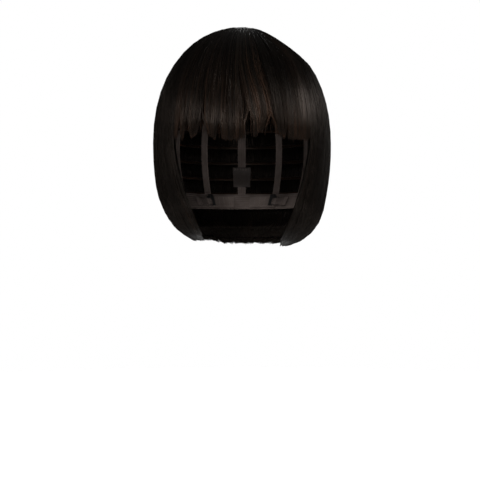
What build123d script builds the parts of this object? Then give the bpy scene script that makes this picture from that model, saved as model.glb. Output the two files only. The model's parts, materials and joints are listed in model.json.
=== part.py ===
"""Short bob wig with a full fringe: wefted hair on a stretch cap.

Millimetres, +Z up.  The wig is worn: it faces -Y and the wearer's left is +X.  The origin is
the middle of the head that wears it, at the level of the eyes.

Cap and hair are nested shells round that head.  Every shell is drawn as a round section
(radius, height), turned about the Z axis, and then stretched front to back by DEPTH_RATIO.
Azimuths are degrees round Z from the middle of the face, positive towards the wearer's left.
"""

import os
from math import cos, radians, sin, sqrt

from build123d import *

os.makedirs("parts", exist_ok=True)

# Outer shape of the hair
HAIR_HALF_WIDTH = 93.5
HAIR_TOP = 125.0
DEPTH_RATIO = 1.25            # front-to-back size over side-to-side size
FALL_RADIUS = 330.0           # the long gentle curve from the widest level down
FALL_TURN = 12.0              # degrees that the hair has turned inwards at its end
CURL_RADIUS = 48.6            # the inward curl at the ends
CURL_TURN = 70.0              # degrees, where the ends are cut

# Cap
CAP_INSET = 18.0              # from the hair's surface to the cap's, at the sides
CAP_TOP = 113.0
NET_THICKNESS = 0.6
TRIM_THICKNESS = 0.5
FRONT_EDGE = 50.0             # height of the cap's edge on the forehead
FRONT_BAND_HEIGHT = 12.0
EAR_EDGE = 5.0                # height of the cap's edge over the ears
NAPE_EDGE = -65.0
NAPE_BAND_TOP = -49.0
CROWN_PATCH_EDGE = 100.0
TAPE_WIDTH = 10.0

FRONT_NET_AZIMUTH = 62.0
SIDE_NET_AZIMUTH = 108.0
EAR_ELASTIC_AZIMUTH = 115.0
TAPE_SPREAD = 34.0            # degrees between the lace tapes at the back
LABEL_REACH = 8.0
LABEL_LOW = -40.0
LABEL_HIGH = -18.0

# Hair layers
OUTER_LAYER = 5.5             # thickness of the crown hair that covers everything
CLEARANCE = 0.3
STITCH_GAP = 0.1              # between layers of the cap that are sewn together
ANGLE_CLEARANCE = 0.3         # degrees between neighbouring sectors
CROWN_HOLE = 3.0              # radius of the whorl's bare centre
FRINGE_CUT = 6.0              # height of the fringe's straight cut
FRINGE_AZIMUTH = 48.5
SIDE_AZIMUTH = 96.0           # where side hair ends and back hair begins
BACK_SECTORS = ("left", "middle", "right")
CURTAIN_AZIMUTH = 34.0        # how far forward the curtains sweep under the cheeks
TEASING_EDGE = 80.0           # lowest height of the teased fibre under the crown
TRACK_HEIGHT = 3.0
BACK_ROWS = [-50.0, -33.0, -15.0, 3.0, 21.0, 39.0, 57.0, 74.0]
SIDE_ROWS = [12.0, 30.0, 46.0, 60.0, 74.0]
FRINGE_ROWS = [60.0, 68.0, 76.0]

# Half widths of the face opening, from the brow down
OPENING_BROW = 70.3
OPENING_CHEEK = 59.0
OPENING_CHIN = 40.5
OPENING_CHEEK_Z = -60.0
OPENING_CHIN_Z = -108.0

# Adjusters: they run on a cone whose upright axis stands inside the back of the head
ADJUSTER_AXIS_Y = 26.3
ADJUSTER_RADIUS = 52.6        # outer face of the pocket tape, at ADJUSTER_Z
ADJUSTER_Z = -57.0
ADJUSTER_SLOPE = 0.44         # millimetres of radius per millimetre of height
POCKET_TAPE_HALF_HEIGHT = 6.0
POCKET_WALL = 0.6
POCKET_GAP = 1.6
POCKET_START = 10.0           # degrees from the middle of the nape
POCKET_END = 48.0
PRONG_ANGLE = 41.0            # middle of the hook's prong, in the loosest pocket
PRONG_HALF_TURN = 2.6
PRONG_LIFT = 0.9              # the prong's tip off the pocket's seam
HOOK_RISE = 2.0               # the hook's bridge over the tape's upper edge
PLATE_THICKNESS = 1.3
PLATE_REACH = 5.0             # degrees of plate past the prong, for the strap
SLOT_TURN = 1.6               # the slot that the strap is sewn through
SLOT_MARGIN = 1.5
STRAP_HALF_HEIGHT = 3.5
STRAP_END = 66.0
ANCHOR_TURN = 6.0             # how much of the strap's end the anchor sews down
ANCHOR_MARGIN = 1.0           # anchor past the strap, in degrees and in millimetres
ANCHOR_OUTER = -1.0           # inset of the anchor's outer face

# Ear tabs
TAB_FRONT_AZIMUTH = 64.0
TAB_BACK_AZIMUTH = 80.0
TAB_TOP = 4.4
TAB_BOTTOM = -15.0
TAB_WIDTH = 24.0
TAB_CORNER = 8.0
TAB_SPARE = 2.0               # degrees of cloth past each side, which the outline cuts off
STAY_MARGIN = 6.5             # degrees from the tab's edges to its stay
STAY_BOTTOM = TAB_BOTTOM + 2.5
STAY_TOP = TAB_TOP - 1.5
STAY_THICKNESS = 1.0

ADJUSTER_AXIS = Axis((0, ADJUSTER_AXIS_Y, 0), (0, 0, 1))
TOP_RATIO = (HAIR_TOP - CAP_TOP) / CAP_INSET
FAR = 300.0                   # reaches past everything
NET_TOP = CROWN_PATCH_EDGE - CLEARANCE
TRIM_DEPTHS = (NET_THICKNESS + STITCH_GAP, NET_THICKNESS + STITCH_GAP + TRIM_THICKNESS)
STAY_DEPTHS = (NET_THICKNESS + STITCH_GAP, NET_THICKNESS + STITCH_GAP + STAY_THICKNESS)
SIDES = ((1, "left"), (-1, "right"))

TAPE_LOW = ADJUSTER_Z - POCKET_TAPE_HALF_HEIGHT
TAPE_HIGH = ADJUSTER_Z + POCKET_TAPE_HALF_HEIGHT
CHANNEL_INNER = POCKET_WALL + POCKET_GAP
PRONG_OUTER = POCKET_WALL + CLEARANCE
PRONG_INNER = CHANNEL_INNER - CLEARANCE
PRONG_LOW = TAPE_LOW + POCKET_WALL + PRONG_LIFT
PRONG_START = PRONG_ANGLE - PRONG_HALF_TURN
PRONG_END = PRONG_ANGLE + PRONG_HALF_TURN
PLATE_OUTER = CHANNEL_INNER + POCKET_WALL + CLEARANCE
PLATE_INNER = PLATE_OUTER + PLATE_THICKNESS
PLATE_END = PRONG_END + PLATE_REACH
HOOK_TOP = TAPE_HIGH + HOOK_RISE
STRAP_LOW = ADJUSTER_Z - STRAP_HALF_HEIGHT
STRAP_HIGH = ADJUSTER_Z + STRAP_HALF_HEIGHT


def shell_top(inset):
    """Height of the shell that lies this far inside the hair's surface."""
    return HAIR_TOP - inset * TOP_RATIO


def cap_radius(height):
    """Radius of the cap's round section at a height above the eyes."""
    return (HAIR_HALF_WIDTH - CAP_INSET) * sqrt(1 - (height / CAP_TOP) ** 2)


def hair_radius(inset, height):
    """Radius of a hair shell's round section, down to where the ends begin to curl."""
    if height >= 0:
        return (HAIR_HALF_WIDTH - inset) * sqrt(1 - (height / shell_top(inset)) ** 2)
    return HAIR_HALF_WIDTH - FALL_RADIUS + sqrt((FALL_RADIUS - inset) ** 2 - height**2)


def section_plane(azimuth):
    """Upright plane through the Z axis, facing so that turning it goes to the wearer's left."""
    turn = radians(azimuth - 90)
    return Plane(origin=(0, 0, 0), x_dir=(cos(turn), sin(turn), 0), z_dir=(sin(turn), -cos(turn), 0))


def adjuster_plane(turn):
    """Upright plane through the adjusters' axis, this many degrees to the wearer's left."""
    angle = radians(90 - turn)
    return Plane(
        origin=(0, ADJUSTER_AXIS_Y, 0),
        x_dir=(cos(angle), sin(angle), 0),
        z_dir=(sin(angle), -cos(angle), 0),
    )


def falling_line(inset):
    """From the top of a shell down its side and round the curl; returns its two ends."""
    radius = HAIR_HALF_WIDTH - inset
    fall_centre = HAIR_HALF_WIDTH - FALL_RADIUS
    fall = FALL_RADIUS - inset
    middle, end = radians(FALL_TURN / 2), radians(FALL_TURN)
    curl_x = fall_centre + (FALL_RADIUS - CURL_RADIUS) * cos(end)
    curl_z = -(FALL_RADIUS - CURL_RADIUS) * sin(end)
    curl = CURL_RADIUS - inset
    curl_middle, curl_end = radians((FALL_TURN + CURL_TURN) / 2), radians(CURL_TURN)
    dome = EllipticalCenterArc((0, 0), radius, shell_top(inset), start_angle=0, arc_size=90)
    fall_end = (fall_centre + fall * cos(end), -fall * sin(end))
    ThreePointArc(
        (radius, 0),
        (fall_centre + fall * cos(middle), -fall * sin(middle)),
        fall_end,
    )
    tip = (curl_x + curl * cos(curl_end), curl_z - curl * sin(curl_end))
    ThreePointArc(
        fall_end,
        (curl_x + curl * cos(curl_middle), curl_z - curl * sin(curl_middle)),
        tip,
    )
    return dome @ 1, tip


def hair_section(plane, outer, inner, low, high, near=0.0):
    """Round section of a hair layer between two insets, kept between two heights."""
    with BuildSketch(plane) as sketch:
        with BuildLine():
            outer_top, outer_tip = falling_line(outer)
            inner_top, inner_tip = falling_line(inner)
            Line(outer_top, inner_top)
            Line(outer_tip, inner_tip)
        make_face()
        with Locations(((near + FAR) / 2, (low + high) / 2)):
            Rectangle(FAR - near, high - low, mode=Mode.INTERSECT)
    return sketch.sketch


def track_section(plane, outer, inner, height):
    """Section of a weft's sewn head: from just off the cap out into the weft's own hair."""
    low, high = height, height + TRACK_HEIGHT
    cap_side = max(cap_radius(low), cap_radius(high)) + CLEARANCE
    hair_side = min(hair_radius(inner, low), hair_radius(inner, high)) + (inner - outer) / 2
    with BuildSketch(plane) as sketch:
        with Locations(((cap_side + hair_side) / 2, (low + high) / 2)):
            Rectangle(hair_side - cap_side, high - low)
    return sketch.sketch


def cap_section(plane, outer, inner, low, high):
    """Section of a piece of the cap, between two depths inside the cap's outer surface."""
    with BuildSketch(plane) as sketch:
        Ellipse(HAIR_HALF_WIDTH - CAP_INSET - outer, CAP_TOP - outer)
        Ellipse(HAIR_HALF_WIDTH - CAP_INSET - inner, CAP_TOP - inner, mode=Mode.SUBTRACT)
        with Locations((FAR / 2, (low + high) / 2)):
            Rectangle(FAR, high - low, mode=Mode.INTERSECT)
    return sketch.sketch


def hair_layer(start, end, outer, inner, low, high, near=0.0):
    """Adds a layer of hair from one azimuth to another."""
    section = hair_section(section_plane(start), outer, inner, low, high, near)
    revolve(section, axis=Axis.Z, revolution_arc=end - start)


def weft(start, end, outer, inner, low, height):
    """Adds a weft: its sewn track at a height, and the hair that falls from it."""
    hair_layer(start, end, outer, inner, low, height + TRACK_HEIGHT)
    section = track_section(section_plane(start), outer, inner, height)
    revolve(section, axis=Axis.Z, revolution_arc=end - start)


def cap_piece(start, end, outer, inner, low, high):
    """Adds a piece of the cap from one azimuth to another."""
    section = cap_section(section_plane(start), outer, inner, low, high)
    revolve(section, axis=Axis.Z, revolution_arc=end - start)


def stretch():
    """Stretches the round piece front to back, to the shape of a head."""
    scale(by=(1, DEPTH_RATIO, 1))


def tab_plane(side):
    """Upright plane through the Z axis that looks out through the middle of an ear tab."""
    turn = radians((TAB_FRONT_AZIMUTH + TAB_BACK_AZIMUTH) / 2)
    outward = (side * sin(turn), -DEPTH_RATIO * cos(turn), 0)
    return Plane(origin=(0, 0, 0), x_dir=(-outward[1], outward[0], 0), z_dir=outward)


def both_ways(side, start, end):
    """The same stretch of azimuth or turn on one side (+1 left, -1 right), in rising order."""
    return sorted((side * start, side * end))


def finish(piece, name):
    """Names a finished piece and writes it."""
    piece.part.label = name
    export_step(piece.part, f"parts/{name}.step")


def ring_section(plane, outer, inner, low, high):
    """Section of an adjuster piece: insets from the pocket tape's outer face, and heights."""
    with BuildSketch(plane) as sketch:
        with BuildLine():
            Polyline(
                *[
                    (ADJUSTER_RADIUS - inset + ADJUSTER_SLOPE * (height - ADJUSTER_Z), height)
                    for inset, height in ((outer, low), (inner, low), (inner, high), (outer, high))
                ],
                close=True,
            )
        make_face()
    return sketch.sketch


def ring_piece(start, end, outer, inner, low, high, mode=Mode.ADD):
    """A strip that runs round the adjusters' axis from one turn to another."""
    section = ring_section(adjuster_plane(end), outer, inner, low, high)
    revolve(section, axis=ADJUSTER_AXIS, revolution_arc=end - start, mode=mode)


# ---- Cutters: the face opening under the fringe, and the fringe's own space above its cut ----

with BuildPart() as face_cutter:
    with BuildSketch(Plane.XZ):
        with BuildLine():
            Line((-OPENING_BROW, FRINGE_CUT), (OPENING_BROW, FRINGE_CUT))
            ThreePointArc(
                (OPENING_BROW, FRINGE_CUT),
                (OPENING_CHEEK, OPENING_CHEEK_Z),
                (OPENING_CHIN, OPENING_CHIN_Z),
            )
            Line((OPENING_CHIN, OPENING_CHIN_Z), (-OPENING_CHIN, OPENING_CHIN_Z))
            ThreePointArc(
                (-OPENING_CHIN, OPENING_CHIN_Z),
                (-OPENING_CHEEK, OPENING_CHEEK_Z),
                (-OPENING_BROW, FRINGE_CUT),
            )
        make_face()
    extrude(amount=FAR / 2)

with BuildPart() as fringe_cutter:
    fringe_edge = FRINGE_AZIMUTH + ANGLE_CLEARANCE
    with BuildSketch(section_plane(-fringe_edge)) as fringe_space:
        with Locations((FAR / 4, FRINGE_CUT + FAR / 4)):
            Rectangle(FAR / 2, FAR / 2)
    revolve(fringe_space.sketch, axis=Axis.Z, revolution_arc=2 * fringe_edge)

# ---- Crown hair: the outer layer, in sectors round the whorl ----

with BuildPart() as crown_hair_front:
    hair_layer(
        -FRINGE_AZIMUTH, FRINGE_AZIMUTH, 0, OUTER_LAYER, FRINGE_CUT, HAIR_TOP, near=CROWN_HOLE
    )
    stretch()
finish(crown_hair_front, "crown_hair_front")

sector_turn = (360 - 2 * SIDE_AZIMUTH) / len(BACK_SECTORS)
for index, sector_name in enumerate(BACK_SECTORS):
    start = SIDE_AZIMUTH + index * sector_turn
    end = start + sector_turn - ANGLE_CLEARANCE
    with BuildPart() as crown_hair_back:
        hair_layer(start, end, 0, OUTER_LAYER, -FAR, HAIR_TOP, near=CROWN_HOLE)
        stretch()
    finish(crown_hair_back, f"crown_hair_back_{sector_name}")

for side, side_name in SIDES:
    curtain = both_ways(side, CURTAIN_AZIMUTH, SIDE_AZIMUTH - ANGLE_CLEARANCE)
    with BuildPart() as crown_hair_side:
        hair_layer(*curtain, 0, OUTER_LAYER, -FAR, HAIR_TOP, near=CROWN_HOLE)
        add(fringe_cutter.part, mode=Mode.SUBTRACT)
        stretch()
        add(face_cutter.part, mode=Mode.SUBTRACT)
    finish(crown_hair_side, f"crown_hair_{side_name}")

# ---- Wefts: each is a sewn track on the cap and its fall of hair, the lowest row innermost ----


def row_insets(rows, index):
    """Outer and inner inset of a row: the rows share the space inside the crown hair."""
    outermost = OUTER_LAYER + CLEARANCE
    pitch = (CAP_INSET - 2 * CLEARANCE - outermost) / len(rows)
    inner = CAP_INSET - 2 * CLEARANCE - index * pitch
    return inner - pitch + CLEARANCE, inner


for index, height in enumerate(BACK_ROWS):
    back = SIDE_AZIMUTH + ANGLE_CLEARANCE
    with BuildPart() as back_weft:
        weft(back, 360 - back, *row_insets(BACK_ROWS, index), -FAR, height)
        stretch()
    finish(back_weft, f"back_weft_{index + 1}")

for index, height in enumerate(SIDE_ROWS):
    for side, side_name in SIDES:
        curtain = both_ways(side, CURTAIN_AZIMUTH, SIDE_AZIMUTH - ANGLE_CLEARANCE)
        with BuildPart() as side_weft:
            weft(*curtain, *row_insets(SIDE_ROWS, index), -FAR, height)
            add(fringe_cutter.part, mode=Mode.SUBTRACT)
            stretch()
            add(face_cutter.part, mode=Mode.SUBTRACT)
        finish(side_weft, f"side_weft_{side_name}_{index + 1}")

for index, height in enumerate(FRINGE_ROWS):
    brow = FRINGE_AZIMUTH
    with BuildPart() as fringe_weft:
        weft(-brow, brow, *row_insets(FRINGE_ROWS, index), FRINGE_CUT, height)
        stretch()
    finish(fringe_weft, f"fringe_weft_{index + 1}")

# ---- Teased short fibre that lifts the crown hair off the cap ----

with BuildPart() as crown_teasing:
    teasing = (OUTER_LAYER + CLEARANCE, CAP_INSET - CLEARANCE)
    hair_layer(0, 360, *teasing, TEASING_EDGE, HAIR_TOP)
    stretch()
finish(crown_teasing, "crown_teasing")

# ---- Cap ----

with BuildPart() as crown_patch:
    cap_piece(0, 360, 0, NET_THICKNESS, CROWN_PATCH_EDGE, CAP_TOP)
    stretch()
finish(crown_patch, "crown_patch")

with BuildPart() as front_net_panel:
    cap_piece(-FRONT_NET_AZIMUTH, FRONT_NET_AZIMUTH, 0, NET_THICKNESS, FRONT_EDGE, NET_TOP)
    stretch()
finish(front_net_panel, "front_net_panel")

with BuildPart() as front_band:
    band_top = FRONT_EDGE + FRONT_BAND_HEIGHT
    cap_piece(-FRONT_NET_AZIMUTH, FRONT_NET_AZIMUTH, *TRIM_DEPTHS, FRONT_EDGE, band_top)
    stretch()
finish(front_band, "front_band")

for side, side_name in SIDES:
    panel = both_ways(side, FRONT_NET_AZIMUTH + ANGLE_CLEARANCE, SIDE_NET_AZIMUTH)
    with BuildPart() as side_net_panel:
        cap_piece(*panel, 0, NET_THICKNESS, EAR_EDGE, NET_TOP)
        stretch()
    finish(side_net_panel, f"side_net_panel_{side_name}")

    elastic = both_ways(side, SIDE_NET_AZIMUTH + ANGLE_CLEARANCE, EAR_ELASTIC_AZIMUTH)
    with BuildPart() as ear_elastic:
        cap_piece(*elastic, 0, NET_THICKNESS, NAPE_EDGE, NET_TOP)
        stretch()
    finish(ear_elastic, f"ear_elastic_{side_name}")

with BuildPart() as nape_band:
    nape = EAR_ELASTIC_AZIMUTH + ANGLE_CLEARANCE
    cap_piece(nape, 360 - nape, 0, NET_THICKNESS, NAPE_EDGE, NAPE_BAND_TOP)
    stretch()
finish(nape_band, "nape_band")

# Upright lace tapes from the nape band to the crown patch, which carry the back wefts
for turn, tape_name in ((0, "middle"), (TAPE_SPREAD, "left"), (-TAPE_SPREAD, "right")):
    with BuildPart() as lace_tape:
        azimuth = 180 - turn
        reach = TAPE_SPREAD / 2
        cap_piece(
            azimuth - reach, azimuth + reach, 0, NET_THICKNESS, NAPE_BAND_TOP + CLEARANCE, NET_TOP
        )
        stretch()
        with Locations(Location((0, 0, 0), (0, 0, -turn))):
            Box(TAPE_WIDTH, 2 * FAR, 2 * FAR, mode=Mode.INTERSECT)
    finish(lace_tape, f"lace_tape_{tape_name}")

with BuildPart() as care_label:
    cap_piece(180 - LABEL_REACH, 180 + LABEL_REACH, *TRIM_DEPTHS, LABEL_LOW, LABEL_HIGH)
    stretch()
finish(care_label, "care_label")

# ---- Ear tabs, each with a bendable stay on its inner face ----

for side, side_name in SIDES:
    with BuildPart() as ear_tab:
        tab = both_ways(side, TAB_FRONT_AZIMUTH - TAB_SPARE, TAB_BACK_AZIMUTH + TAB_SPARE)
        cap_piece(*tab, 0, NET_THICKNESS, TAB_BOTTOM, TAB_TOP)
        stretch()
        with BuildSketch(tab_plane(side)) as tab_outline:
            with Locations((0, TAB_BOTTOM + FAR / 2)):
                RectangleRounded(TAB_WIDTH, FAR, TAB_CORNER)
        extrude(tab_outline.sketch, amount=FAR / 2, mode=Mode.INTERSECT)
    finish(ear_tab, f"ear_tab_{side_name}")

    with BuildPart() as ear_stay:
        stay = both_ways(side, TAB_FRONT_AZIMUTH + STAY_MARGIN, TAB_BACK_AZIMUTH - STAY_MARGIN)
        cap_piece(*stay, *STAY_DEPTHS, STAY_BOTTOM, STAY_TOP)
        stretch()
    finish(ear_stay, f"ear_stay_{side_name}")

# ---- Nape adjusters: pocket tape, hook, elastic strap and its anchor, left and right ----

for side, side_name in SIDES:
    tape_turns = both_ways(side, POCKET_START, POCKET_END)
    with BuildPart() as pocket_tape:
        ring_piece(*tape_turns, 0, POCKET_WALL, TAPE_LOW, TAPE_HIGH)
        ring_piece(*tape_turns, CHANNEL_INNER, CHANNEL_INNER + POCKET_WALL, TAPE_LOW, TAPE_HIGH)
        ring_piece(*tape_turns, 0, CHANNEL_INNER + POCKET_WALL, TAPE_LOW, TAPE_LOW + POCKET_WALL)
    finish(pocket_tape, f"pocket_tape_{side_name}")

    prong_turns = both_ways(side, PRONG_START, PRONG_END)
    plate_turns = both_ways(side, PRONG_START, PLATE_END)
    slot_turns = both_ways(side, PLATE_END - SLOT_TURN - SLOT_MARGIN, PLATE_END - SLOT_MARGIN)
    with BuildPart() as adjuster_hook:
        ring_piece(*prong_turns, PRONG_OUTER, PRONG_INNER, PRONG_LOW, HOOK_TOP)
        ring_piece(*prong_turns, PRONG_OUTER, PLATE_INNER, TAPE_HIGH + CLEARANCE, HOOK_TOP)
        ring_piece(*prong_turns, PLATE_OUTER, PLATE_INNER, PRONG_LOW, HOOK_TOP)
        ring_piece(*plate_turns, PLATE_OUTER, PLATE_INNER, PRONG_LOW, TAPE_HIGH)
        ring_piece(
            *slot_turns,
            PLATE_OUTER - CLEARANCE,
            PLATE_INNER + CLEARANCE,
            STRAP_LOW - CLEARANCE,
            STRAP_HIGH + CLEARANCE,
            mode=Mode.SUBTRACT,
        )
    finish(adjuster_hook, f"adjuster_hook_{side_name}")

    strap_turns = both_ways(side, PLATE_END + ANGLE_CLEARANCE, STRAP_END)
    with BuildPart() as adjuster_strap:
        ring_piece(*strap_turns, PLATE_OUTER, PLATE_INNER - CLEARANCE, STRAP_LOW, STRAP_HIGH)
    finish(adjuster_strap, f"adjuster_strap_{side_name}")

    anchor_turns = both_ways(side, STRAP_END - ANCHOR_TURN, STRAP_END + ANCHOR_MARGIN)
    with BuildPart() as strap_anchor:
        ring_piece(
            *anchor_turns,
            ANCHOR_OUTER,
            PLATE_OUTER - STITCH_GAP,
            STRAP_LOW - ANCHOR_MARGIN,
            STRAP_HIGH + ANCHOR_MARGIN,
        )
    finish(strap_anchor, f"strap_anchor_{side_name}")
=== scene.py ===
"""Looks of the bob wig: strands over shaded locks on every weft, and the sewn cap inside."""
import json
import math

import bpy
import numpy as np
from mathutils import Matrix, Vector


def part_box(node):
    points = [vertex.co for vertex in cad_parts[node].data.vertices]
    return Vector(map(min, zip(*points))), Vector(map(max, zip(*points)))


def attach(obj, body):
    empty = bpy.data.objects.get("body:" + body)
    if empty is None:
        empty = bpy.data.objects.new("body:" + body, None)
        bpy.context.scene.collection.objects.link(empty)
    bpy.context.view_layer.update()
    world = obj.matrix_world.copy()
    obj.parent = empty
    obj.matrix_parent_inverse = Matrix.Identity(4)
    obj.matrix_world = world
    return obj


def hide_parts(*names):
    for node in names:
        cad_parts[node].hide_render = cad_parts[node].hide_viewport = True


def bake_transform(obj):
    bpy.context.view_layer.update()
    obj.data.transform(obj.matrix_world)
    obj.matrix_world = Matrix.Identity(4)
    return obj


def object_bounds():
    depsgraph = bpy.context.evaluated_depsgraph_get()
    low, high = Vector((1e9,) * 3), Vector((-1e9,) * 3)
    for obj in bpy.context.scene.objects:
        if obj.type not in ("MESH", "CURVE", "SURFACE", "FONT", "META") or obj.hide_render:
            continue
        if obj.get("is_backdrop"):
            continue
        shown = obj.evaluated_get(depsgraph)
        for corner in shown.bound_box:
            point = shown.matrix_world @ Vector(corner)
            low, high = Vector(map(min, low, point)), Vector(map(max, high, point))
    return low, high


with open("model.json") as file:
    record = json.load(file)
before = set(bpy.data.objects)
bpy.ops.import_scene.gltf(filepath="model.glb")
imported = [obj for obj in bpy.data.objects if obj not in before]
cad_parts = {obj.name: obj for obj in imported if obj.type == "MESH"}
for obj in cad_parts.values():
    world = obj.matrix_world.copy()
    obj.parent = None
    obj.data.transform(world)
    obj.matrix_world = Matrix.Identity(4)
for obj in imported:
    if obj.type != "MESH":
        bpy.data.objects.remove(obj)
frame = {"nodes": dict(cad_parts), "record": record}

cad_low, cad_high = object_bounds()
scene = bpy.context.scene

# ---- sizes, in metres

MM = 0.001
HALF_WIDTH = (cad_high.x - cad_low.x) / 2
DEPTH_RATIO = (cad_high.y - cad_low.y) / (cad_high.x - cad_low.x)
TOP = cad_high.z
CAP_INSET = HALF_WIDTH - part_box("side_net_panel_left")[1].x
CAP_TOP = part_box("crown_patch")[1].z
FRINGE_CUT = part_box("crown_hair_front")[0].z
TIP_HEIGHT = cad_low.z
OUTER_LAYER = 5.5 * MM  # thickness of the crown's hair, over the wefts
TOP_RATIO = (TOP - CAP_TOP) / CAP_INSET
CAP_RADIUS = HALF_WIDTH - CAP_INSET

DOME_POWER = 0.93  # under 1 makes the dome fuller than an ellipse
DOME_SHARE = 0.59  # share of the way from crown to tips that is dome
FALL_SHARE = 0.24
CURL_SHARE = 1 - DOME_SHARE - FALL_SHARE
FALL_RADIUS = 330 * MM
FALL_TURN = math.radians(12)
CURL_RADIUS = 48.6 * MM
CURL_TURN = math.radians(58)

OPENING_BROW = 70.3 * MM  # half width of the face opening at the fringe's cut
OPENING_CHIN = 39.5 * MM
OPENING_POWER = 1.6
SIDE_AZIMUTH = 96.0
FRINGE_AZIMUTH = 48.5

TUCK = 8 * MM  # how much further the wearer's right side turns under at its ends
TUCK_FROM_X, TUCK_TO_X = -35 * MM, -80 * MM
TUCK_FROM_Z, TUCK_TO_Z = -45 * MM, -95 * MM
TIP_LIFT = 4 * MM  # how much higher the ends of that side are
LIFT_FROM_X, LIFT_TO_X = -15 * MM, -40 * MM
LIFT_FROM_Z, LIFT_TO_Z = -84 * MM, -104 * MM
SQUEEZE = 0.2  # how much narrower the crown is on the wearer's left, at its top
SQUEEZE_FROM, SQUEEZE_TO = 80 * MM, 125 * MM


def profile(t, inset):
    """Radius and height of the shell this far inside the hair; t runs from crown 0 to ends 1."""
    dome = np.clip(t / DOME_SHARE, 0, 1) * math.pi / 2
    fall = np.clip((t - DOME_SHARE) / FALL_SHARE, 0, 1) * FALL_TURN
    curl = FALL_TURN + np.clip((t - DOME_SHARE - FALL_SHARE) / CURL_SHARE, 0, 1.3) * CURL_TURN
    radius = (HALF_WIDTH - inset) * np.sin(dome) ** DOME_POWER
    height = (TOP - inset * TOP_RATIO) * np.clip(np.cos(dome), 0, 1) ** DOME_POWER
    radius = radius + (FALL_RADIUS - inset) * (np.cos(fall) - 1)
    height = height - (FALL_RADIUS - inset) * np.sin(fall)
    radius = radius + (CURL_RADIUS - inset) * (np.cos(curl) - math.cos(FALL_TURN))
    height = height - (CURL_RADIUS - inset) * (np.sin(curl) - math.sin(FALL_TURN))
    return radius, height


def smooth(value):
    """Eases from 0 to 1."""
    value = np.clip(value, 0, 1)
    return value * value * (3 - 2 * value)


def between(value, start, end):
    """Eases from 0 to 1 as a value goes from start to end."""
    return smooth((value - start) / (end - start))


def placed(radius, turn, height):
    """A point of the stretched round shape, from its round radius, its turn and its height."""
    x, y = radius * np.sin(turn), -DEPTH_RATIO * radius * np.cos(turn)
    return np.stack(np.broadcast_arrays(x, y, height), axis=-1)


def on_shell(azimuth, t, inset):
    """Points for azimuths in degrees, from the face towards the wearer's left."""
    radius, height = profile(t, inset)
    points = placed(radius, np.radians(azimuth), height)
    x, z = points[..., 0].copy(), points[..., 2].copy()
    near_top = between(z, SQUEEZE_FROM, SQUEEZE_TO) * (x > 0) * (1 - inset / CAP_INSET)
    tucked = between(x, TUCK_FROM_X, TUCK_TO_X) * between(z, TUCK_FROM_Z, TUCK_TO_Z)
    lifted = between(x, LIFT_FROM_X, LIFT_TO_X) * between(z, LIFT_FROM_Z, LIFT_TO_Z)
    points[..., 0] = x * (1 - SQUEEZE * near_top) + TUCK * tucked
    points[..., 2] = z + TIP_LIFT * lifted
    return points


def t_at_height(height, inset):
    """The t at which a shell is at a height."""
    t = np.linspace(0, 1, 400)
    return float(np.interp(-height, -profile(t, inset)[1], t))


def unit(vectors):
    return vectors / np.maximum(np.linalg.norm(vectors, axis=-1, keepdims=True), 1e-12)


# ---- meshes


def tubes(paths, outward, thickness, width, sides=3):
    """Closed tubes along paths (n, k, 3): thickness is the radius outward, width the other one."""
    count, steps, _ = paths.shape
    tangent = unit(np.gradient(paths, axis=1))
    across = unit(np.cross(tangent, outward))
    up = np.cross(across, tangent)
    angle = 2 * math.pi * np.arange(sides) / sides
    ring = (
        paths[:, :, None]
        + (thickness[:, :, None] * np.cos(angle))[..., None] * up[:, :, None]
        + (width[:, :, None] * np.sin(angle))[..., None] * across[:, :, None]
    )
    first = (np.arange(count)[:, None] * steps + np.arange(steps - 1)) * sides
    side = np.arange(sides)
    following = (side + 1) % sides
    low, high = first[..., None] + side, first[..., None] + following
    quads = np.stack([low, high, high + sides, low + sides], axis=-1).reshape(-1, 4)
    starts = np.arange(count) * steps * sides
    ends = starts + (steps - 1) * sides
    fan = np.arange(1, sides - 1)
    caps = np.concatenate([
        np.stack(np.broadcast_arrays(first, first + fan + forward, first + fan + backward), -1)
        for first, forward, backward in ((starts[:, None], 1, 0), (ends[:, None], 0, 1))
    ]).reshape(-1, 3)
    return ring.reshape(-1, 3), quads, caps


def slab(outer, inner):
    """A closed sheet between two grids of points (a, b, 3)."""
    rows, columns, _ = outer.shape
    index = np.arange(rows * columns).reshape(rows, columns)
    inside = index + rows * columns

    def patch(grid):
        return np.stack([grid[:-1, :-1], grid[:-1, 1:], grid[1:, 1:], grid[1:, :-1]], -1).reshape(-1, 4)

    rim = np.concatenate([index[0], index[1:, -1], index[-1, -2::-1], index[-2:0:-1, 0]])
    following = np.roll(rim, -1)
    edge = np.stack([rim, rim + rows * columns, following + rows * columns, following], -1)
    quads = np.concatenate([patch(index), patch(inside)[:, ::-1], edge])
    return np.concatenate([outer.reshape(-1, 3), inner.reshape(-1, 3)]), quads, np.zeros((0, 3), int)


def merged(parts):
    """Joins (vertices, quads, triangles, tone, along) parts into one such part."""
    offsets = np.cumsum([0] + [len(part[0]) for part in parts])
    joined = [np.concatenate([part[0] for part in parts])]
    joined += [np.concatenate([part[i] + o for part, o in zip(parts, offsets)]) for i in (1, 2)]
    joined += [np.concatenate([part[i] for part in parts]) for i in (3, 4)]
    return joined


def add_object(name, data):
    added = bpy.data.objects.new(name, data)
    scene.collection.objects.link(added)
    return added


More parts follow.
